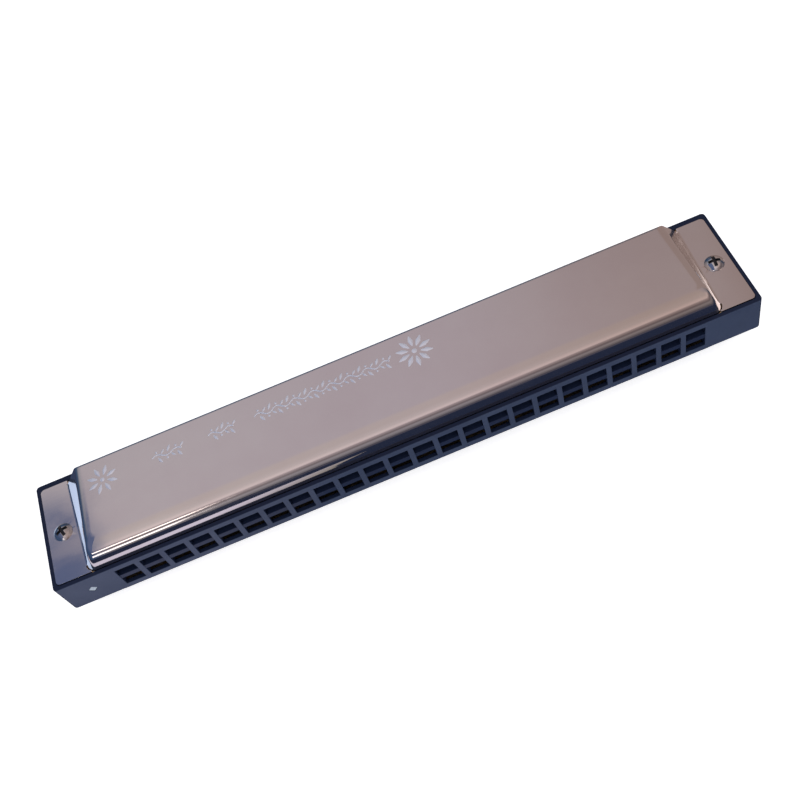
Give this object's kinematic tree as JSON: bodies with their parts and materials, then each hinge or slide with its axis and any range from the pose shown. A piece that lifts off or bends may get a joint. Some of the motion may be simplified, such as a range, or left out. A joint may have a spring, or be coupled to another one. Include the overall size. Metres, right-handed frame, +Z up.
{
  "type": "harmonica",
  "caption": "Long double-row tremolo harmonica: dark comb with a lattice of air holes, reed plates, and polished raised cover plates screwed down at both ends.",
  "frame": {"origin": "middle of the footprint, on the surface that the lower cover's flat rests on", "axes": "+X along the length towards the treble end, -Y towards the player's mouth, +Z up through the upper cover"},
  "size_m": [0.18, 0.03, 0.023],
  "materials": {
    "moulded_comb": "navy black moulded ABS, satin with fine mould grain",
    "reed_brass": "rolled brass, lightly filed and tarnished",
    "cover_nickel": "polished nickel plate on pressed sheet, faint haze and fine scratches",
    "screw_steel": "nickel-plated steel, turned"
  },
  "bodies": {
    "harmonica": {"comb": "moulded_comb", "upper_reed_plate": "reed_brass", "lower_reed_plate": "reed_brass", "upper_cover": "cover_nickel", "lower_cover": "cover_nickel", "bass_end_screw": "screw_steel", "treble_end_screw": "screw_steel", "bass_end_nut": "screw_steel", "treble_end_nut": "screw_steel"},
    "upper_reed_01": {"upper_reed_01": "reed_brass"},
    "upper_reed_02": {"upper_reed_02": "reed_brass"},
    "upper_reed_03": {"upper_reed_03": "reed_brass"},
    "upper_reed_04": {"upper_reed_04": "reed_brass"},
    "upper_reed_05": {"upper_reed_05": "reed_brass"},
    "upper_reed_06": {"upper_reed_06": "reed_brass"},
    "upper_reed_07": {"upper_reed_07": "reed_brass"},
    "upper_reed_08": {"upper_reed_08": "reed_brass"},
    "upper_reed_09": {"upper_reed_09": "reed_brass"},
    "upper_reed_10": {"upper_reed_10": "reed_brass"},
    "upper_reed_11": {"upper_reed_11": "reed_brass"},
    "upper_reed_12": {"upper_reed_12": "reed_brass"},
    "upper_reed_13": {"upper_reed_13": "reed_brass"},
    "upper_reed_14": {"upper_reed_14": "reed_brass"},
    "upper_reed_15": {"upper_reed_15": "reed_brass"},
    "upper_reed_16": {"upper_reed_16": "reed_brass"},
    "upper_reed_17": {"upper_reed_17": "reed_brass"},
    "upper_reed_18": {"upper_reed_18": "reed_brass"},
    "upper_reed_19": {"upper_reed_19": "reed_brass"},
    "upper_reed_20": {"upper_reed_20": "reed_brass"},
    "upper_reed_21": {"upper_reed_21": "reed_brass"},
    "upper_reed_22": {"upper_reed_22": "reed_brass"},
    "upper_reed_23": {"upper_reed_23": "reed_brass"},
    "upper_reed_24": {"upper_reed_24": "reed_brass"},
    "lower_reed_01": {"lower_reed_01": "reed_brass"},
    "lower_reed_02": {"lower_reed_02": "reed_brass"},
    "lower_reed_03": {"lower_reed_03": "reed_brass"},
    "lower_reed_04": {"lower_reed_04": "reed_brass"},
    "lower_reed_05": {"lower_reed_05": "reed_brass"},
    "lower_reed_06": {"lower_reed_06": "reed_brass"},
    "lower_reed_07": {"lower_reed_07": "reed_brass"},
    "lower_reed_08": {"lower_reed_08": "reed_brass"},
    "lower_reed_09": {"lower_reed_09": "reed_brass"},
    "lower_reed_10": {"lower_reed_10": "reed_brass"},
    "lower_reed_11": {"lower_reed_11": "reed_brass"},
    "lower_reed_12": {"lower_reed_12": "reed_brass"},
    "lower_reed_13": {"lower_reed_13": "reed_brass"},
    "lower_reed_14": {"lower_reed_14": "reed_brass"},
    "lower_reed_15": {"lower_reed_15": "reed_brass"},
    "lower_reed_16": {"lower_reed_16": "reed_brass"},
    "lower_reed_17": {"lower_reed_17": "reed_brass"},
    "lower_reed_18": {"lower_reed_18": "reed_brass"},
    "lower_reed_19": {"lower_reed_19": "reed_brass"},
    "lower_reed_20": {"lower_reed_20": "reed_brass"},
    "lower_reed_21": {"lower_reed_21": "reed_brass"},
    "lower_reed_22": {"lower_reed_22": "reed_brass"},
    "lower_reed_23": {"lower_reed_23": "reed_brass"},
    "lower_reed_24": {"lower_reed_24": "reed_brass"}
  },
  "joints": [
    {"name": "upper_reed_01_swing", "type": "hinge", "parent": "harmonica", "child": "upper_reed_01", "pos_m": [-0.07291, 0.0087, 0.01542], "axis": [1, 0, 0], "range_deg": [-2, 2], "stiffness_Nm_per_rad": 0.00133},
    {"name": "upper_reed_02_swing", "type": "hinge", "parent": "harmonica", "child": "upper_reed_02", "pos_m": [-0.06657, -0.0114, 0.01702], "axis": [1, 0, 0], "range_deg": [-2, 2], "stiffness_Nm_per_rad": 0.00126},
    {"name": "upper_reed_03_swing", "type": "hinge", "parent": "harmonica", "child": "upper_reed_03", "pos_m": [-0.06023, 0.00804, 0.01542], "axis": [1, 0, 0], "range_deg": [-2, 2], "stiffness_Nm_per_rad": 0.00119},
    {"name": "upper_reed_04_swing", "type": "hinge", "parent": "harmonica", "child": "upper_reed_04", "pos_m": [-0.05389, -0.0114, 0.01702], "axis": [1, 0, 0], "range_deg": [-2, 2], "stiffness_Nm_per_rad": 0.00113},
    {"name": "upper_reed_05_swing", "type": "hinge", "parent": "harmonica", "child": "upper_reed_05", "pos_m": [-0.04755, 0.00738, 0.01542], "axis": [1, 0, 0], "range_deg": [-2, 2], "stiffness_Nm_per_rad": 0.00106},
    {"name": "upper_reed_06_swing", "type": "hinge", "parent": "harmonica", "child": "upper_reed_06", "pos_m": [-0.04121, -0.0114, 0.01702], "axis": [1, 0, 0], "range_deg": [-2, 2], "stiffness_Nm_per_rad": 0.001},
    {"name": "upper_reed_07_swing", "type": "hinge", "parent": "harmonica", "child": "upper_reed_07", "pos_m": [-0.03487, 0.00672, 0.01542], "axis": [1, 0, 0], "range_deg": [-2, 2], "stiffness_Nm_per_rad": 0.000944},
    {"name": "upper_reed_08_swing", "type": "hinge", "parent": "harmonica", "child": "upper_reed_08", "pos_m": [-0.02853, -0.0114, 0.01702], "axis": [1, 0, 0], "range_deg": [-2, 2], "stiffness_Nm_per_rad": 0.000888},
    {"name": "upper_reed_09_swing", "type": "hinge", "parent": "harmonica", "child": "upper_reed_09", "pos_m": [-0.02219, 0.00606, 0.01542], "axis": [1, 0, 0], "range_deg": [-2, 2], "stiffness_Nm_per_rad": 0.000835},
    {"name": "upper_reed_10_swing", "type": "hinge", "parent": "harmonica", "child": "upper_reed_10", "pos_m": [-0.01585, -0.0114, 0.01702], "axis": [1, 0, 0], "range_deg": [-2, 2], "stiffness_Nm_per_rad": 0.000783},
    {"name": "upper_reed_11_swing", "type": "hinge", "parent": "harmonica", "child": "upper_reed_11", "pos_m": [-0.00951, 0.0054, 0.01542], "axis": [1, 0, 0], "range_deg": [-2, 2], "stiffness_Nm_per_rad": 0.000734},
    {"name": "upper_reed_12_swing", "type": "hinge", "parent": "harmonica", "child": "upper_reed_12", "pos_m": [-0.00317, -0.0114, 0.01702], "axis": [1, 0, 0], "range_deg": [-2, 2], "stiffness_Nm_per_rad": 0.000687},
    {"name": "upper_reed_13_swing", "type": "hinge", "parent": "harmonica", "child": "upper_reed_13", "pos_m": [0.00317, 0.00473, 0.01542], "axis": [1, 0, 0], "range_deg": [-2, 2], "stiffness_Nm_per_rad": 0.000642},
    {"name": "upper_reed_14_swing", "type": "hinge", "parent": "harmonica", "child": "upper_reed_14", "pos_m": [0.00951, -0.0114, 0.01702], "axis": [1, 0, 0], "range_deg": [-2, 2], "stiffness_Nm_per_rad": 0.000599},
    {"name": "upper_reed_15_swing", "type": "hinge", "parent": "harmonica", "child": "upper_reed_15", "pos_m": [0.01585, 0.00407, 0.01542], "axis": [1, 0, 0], "range_deg": [-2, 2], "stiffness_Nm_per_rad": 0.000558},
    {"name": "upper_reed_16_swing", "type": "hinge", "parent": "harmonica", "child": "upper_reed_16", "pos_m": [0.02219, -0.0114, 0.01702], "axis": [1, 0, 0], "range_deg": [-2, 2], "stiffness_Nm_per_rad": 0.000518},
    {"name": "upper_reed_17_swing", "type": "hinge", "parent": "harmonica", "child": "upper_reed_17", "pos_m": [0.02853, 0.00341, 0.01542], "axis": [1, 0, 0], "range_deg": [-2, 2], "stiffness_Nm_per_rad": 0.000481},
    {"name": "upper_reed_18_swing", "type": "hinge", "parent": "harmonica", "child": "upper_reed_18", "pos_m": [0.03487, -0.0114, 0.01702], "axis": [1, 0, 0], "range_deg": [-2, 2], "stiffness_Nm_per_rad": 0.000446},
    {"name": "upper_reed_19_swing", "type": "hinge", "parent": "harmonica", "child": "upper_reed_19", "pos_m": [0.04121, 0.00275, 0.01542], "axis": [1, 0, 0], "range_deg": [-2, 2], "stiffness_Nm_per_rad": 0.000412},
    {"name": "upper_reed_20_swing", "type": "hinge", "parent": "harmonica", "child": "upper_reed_20", "pos_m": [0.04755, -0.0114, 0.01702], "axis": [1, 0, 0], "range_deg": [-2, 2], "stiffness_Nm_per_rad": 0.00038},
    {"name": "upper_reed_21_swing", "type": "hinge", "parent": "harmonica", "child": "upper_reed_21", "pos_m": [0.05389, 0.00209, 0.01542], "axis": [1, 0, 0], "range_deg": [-2, 2], "stiffness_Nm_per_rad": 0.00035},
    {"name": "upper_reed_22_swing", "type": "hinge", "parent": "harmonica", "child": "upper_reed_22", "pos_m": [0.06023, -0.0114, 0.01702], "axis": [1, 0, 0], "range_deg": [-2, 2], "stiffness_Nm_per_rad": 0.000321},
    {"name": "upper_reed_23_swing", "type": "hinge", "parent": "harmonica", "child": "upper_reed_23", "pos_m": [0.06657, 0.00143, 0.01542], "axis": [1, 0, 0], "range_deg": [-2, 2], "stiffness_Nm_per_rad": 0.000294},
    {"name": "upper_reed_24_swing", "type": "hinge", "parent": "harmonica", "child": "upper_reed_24", "pos_m": [0.07291, -0.0114, 0.01702], "axis": [1, 0, 0], "range_deg": [-2, 2], "stiffness_Nm_per_rad": 0.000269},
    {"name": "lower_reed_01_swing", "type": "hinge", "parent": "harmonica", "child": "lower_reed_01", "pos_m": [-0.07291, 0.0087, 0.00758], "axis": [1, 0, 0], "range_deg": [-2, 2], "stiffness_Nm_per_rad": 0.00133},
    {"name": "lower_reed_02_swing", "type": "hinge", "parent": "harmonica", "child": "lower_reed_02", "pos_m": [-0.06657, -0.0114, 0.00598], "axis": [1, 0, 0], "range_deg": [-2, 2], "stiffness_Nm_per_rad": 0.00126},
    {"name": "lower_reed_03_swing", "type": "hinge", "parent": "harmonica", "child": "lower_reed_03", "pos_m": [-0.06023, 0.00804, 0.00758], "axis": [1, 0, 0], "range_deg": [-2, 2], "stiffness_Nm_per_rad": 0.00119},
    {"name": "lower_reed_04_swing", "type": "hinge", "parent": "harmonica", "child": "lower_reed_04", "pos_m": [-0.05389, -0.0114, 0.00598], "axis": [1, 0, 0], "range_deg": [-2, 2], "stiffness_Nm_per_rad": 0.00113},
    {"name": "lower_reed_05_swing", "type": "hinge", "parent": "harmonica", "child": "lower_reed_05", "pos_m": [-0.04755, 0.00738, 0.00758], "axis": [1, 0, 0], "range_deg": [-2, 2], "stiffness_Nm_per_rad": 0.00106},
    {"name": "lower_reed_06_swing", "type": "hinge", "parent": "harmonica", "child": "lower_reed_06", "pos_m": [-0.04121, -0.0114, 0.00598], "axis": [1, 0, 0], "range_deg": [-2, 2], "stiffness_Nm_per_rad": 0.001},
    {"name": "lower_reed_07_swing", "type": "hinge", "parent": "harmonica", "child": "lower_reed_07", "pos_m": [-0.03487, 0.00672, 0.00758], "axis": [1, 0, 0], "range_deg": [-2, 2], "stiffness_Nm_per_rad": 0.000944},
    {"name": "lower_reed_08_swing", "type": "hinge", "parent": "harmonica", "child": "lower_reed_08", "pos_m": [-0.02853, -0.0114, 0.00598], "axis": [1, 0, 0], "range_deg": [-2, 2], "stiffness_Nm_per_rad": 0.000888},
    {"name": "lower_reed_09_swing", "type": "hinge", "parent": "harmonica", "child": "lower_reed_09", "pos_m": [-0.02219, 0.00606, 0.00758], "axis": [1, 0, 0], "range_deg": [-2, 2], "stiffness_Nm_per_rad": 0.000835},
    {"name": "lower_reed_10_swing", "type": "hinge", "parent": "harmonica", "child": "lower_reed_10", "pos_m": [-0.01585, -0.0114, 0.00598], "axis": [1, 0, 0], "range_deg": [-2, 2], "stiffness_Nm_per_rad": 0.000783},
    {"name": "lower_reed_11_swing", "type": "hinge", "parent": "harmonica", "child": "lower_reed_11", "pos_m": [-0.00951, 0.0054, 0.00758], "axis": [1, 0, 0], "range_deg": [-2, 2], "stiffness_Nm_per_rad": 0.000734},
    {"name": "lower_reed_12_swing", "type": "hinge", "parent": "harmonica", "child": "lower_reed_12", "pos_m": [-0.00317, -0.0114, 0.00598], "axis": [1, 0, 0], "range_deg": [-2, 2], "stiffness_Nm_per_rad": 0.000687},
    {"name": "lower_reed_13_swing", "type": "hinge", "parent": "harmonica", "child": "lower_reed_13", "pos_m": [0.00317, 0.00473, 0.00758], "axis": [1, 0, 0], "range_deg": [-2, 2], "stiffness_Nm_per_rad": 0.000642},
    {"name": "lower_reed_14_swing", "type": "hinge", "parent": "harmonica", "child": "lower_reed_14", "pos_m": [0.00951, -0.0114, 0.00598], "axis": [1, 0, 0], "range_deg": [-2, 2], "stiffness_Nm_per_rad": 0.000599},
    {"name": "lower_reed_15_swing", "type": "hinge", "parent": "harmonica", "child": "lower_reed_15", "pos_m": [0.01585, 0.00407, 0.00758], "axis": [1, 0, 0], "range_deg": [-2, 2], "stiffness_Nm_per_rad": 0.000558},
    {"name": "lower_reed_16_swing", "type": "hinge", "parent": "harmonica", "child": "lower_reed_16", "pos_m": [0.02219, -0.0114, 0.00598], "axis": [1, 0, 0], "range_deg": [-2, 2], "stiffness_Nm_per_rad": 0.000518},
    {"name": "lower_reed_17_swing", "type": "hinge", "parent": "harmonica", "child": "lower_reed_17", "pos_m": [0.02853, 0.00341, 0.00758], "axis": [1, 0, 0], "range_deg": [-2, 2], "stiffness_Nm_per_rad": 0.000481},
    {"name": "lower_reed_18_swing", "type": "hinge", "parent": "harmonica", "child": "lower_reed_18", "pos_m": [0.03487, -0.0114, 0.00598], "axis": [1, 0, 0], "range_deg": [-2, 2], "stiffness_Nm_per_rad": 0.000446},
    {"name": "lower_reed_19_swing", "type": "hinge", "parent": "harmonica", "child": "lower_reed_19", "pos_m": [0.04121, 0.00275, 0.00758], "axis": [1, 0, 0], "range_deg": [-2, 2], "stiffness_Nm_per_rad": 0.000412},
    {"name": "lower_reed_20_swing", "type": "hinge", "parent": "harmonica", "child": "lower_reed_20", "pos_m": [0.04755, -0.0114, 0.00598], "axis": [1, 0, 0], "range_deg": [-2, 2], "stiffness_Nm_per_rad": 0.00038},
    {"name": "lower_reed_21_swing", "type": "hinge", "parent": "harmonica", "child": "lower_reed_21", "pos_m": [0.05389, 0.00209, 0.00758], "axis": [1, 0, 0], "range_deg": [-2, 2], "stiffness_Nm_per_rad": 0.00035},
    {"name": "lower_reed_22_swing", "type": "hinge", "parent": "harmonica", "child": "lower_reed_22", "pos_m": [0.06023, -0.0114, 0.00598], "axis": [1, 0, 0], "range_deg": [-2, 2], "stiffness_Nm_per_rad": 0.000321},
    {"name": "lower_reed_23_swing", "type": "hinge", "parent": "harmonica", "child": "lower_reed_23", "pos_m": [0.06657, 0.00143, 0.00758], "axis": [1, 0, 0], "range_deg": [-2, 2], "stiffness_Nm_per_rad": 0.000294},
    {"name": "lower_reed_24_swing", "type": "hinge", "parent": "harmonica", "child": "lower_reed_24", "pos_m": [0.07291, -0.0114, 0.00598], "axis": [1, 0, 0], "range_deg": [-2, 2], "stiffness_Nm_per_rad": 0.000269}
  ],
  "couplings": [
    {"joint": "lower_reed_01_swing", "follows": "upper_reed_01_swing", "ratio": -1},
    {"joint": "lower_reed_02_swing", "follows": "upper_reed_02_swing", "ratio": -1},
    {"joint": "lower_reed_03_swing", "follows": "upper_reed_03_swing", "ratio": -1},
    {"joint": "lower_reed_04_swing", "follows": "upper_reed_04_swing", "ratio": -1},
    {"joint": "lower_reed_05_swing", "follows": "upper_reed_05_swing", "ratio": -1},
    {"joint": "lower_reed_06_swing", "follows": "upper_reed_06_swing", "ratio": -1},
    {"joint": "lower_reed_07_swing", "follows": "upper_reed_07_swing", "ratio": -1},
    {"joint": "lower_reed_08_swing", "follows": "upper_reed_08_swing", "ratio": -1},
    {"joint": "lower_reed_09_swing", "follows": "upper_reed_09_swing", "ratio": -1},
    {"joint": "lower_reed_10_swing", "follows": "upper_reed_10_swing", "ratio": -1},
    {"joint": "lower_reed_11_swing", "follows": "upper_reed_11_swing", "ratio": -1},
    {"joint": "lower_reed_12_swing", "follows": "upper_reed_12_swing", "ratio": -1},
    {"joint": "lower_reed_13_swing", "follows": "upper_reed_13_swing", "ratio": -1},
    {"joint": "lower_reed_14_swing", "follows": "upper_reed_14_swing", "ratio": -1},
    {"joint": "lower_reed_15_swing", "follows": "upper_reed_15_swing", "ratio": -1},
    {"joint": "lower_reed_16_swing", "follows": "upper_reed_16_swing", "ratio": -1},
    {"joint": "lower_reed_17_swing", "follows": "upper_reed_17_swing", "ratio": -1},
    {"joint": "lower_reed_18_swing", "follows": "upper_reed_18_swing", "ratio": -1},
    {"joint": "lower_reed_19_swing", "follows": "upper_reed_19_swing", "ratio": -1},
    {"joint": "lower_reed_20_swing", "follows": "upper_reed_20_swing", "ratio": -1},
    {"joint": "lower_reed_21_swing", "follows": "upper_reed_21_swing", "ratio": -1},
    {"joint": "lower_reed_22_swing", "follows": "upper_reed_22_swing", "ratio": -1},
    {"joint": "lower_reed_23_swing", "follows": "upper_reed_23_swing", "ratio": -1},
    {"joint": "lower_reed_24_swing", "follows": "upper_reed_24_swing", "ratio": -1}
  ]
}
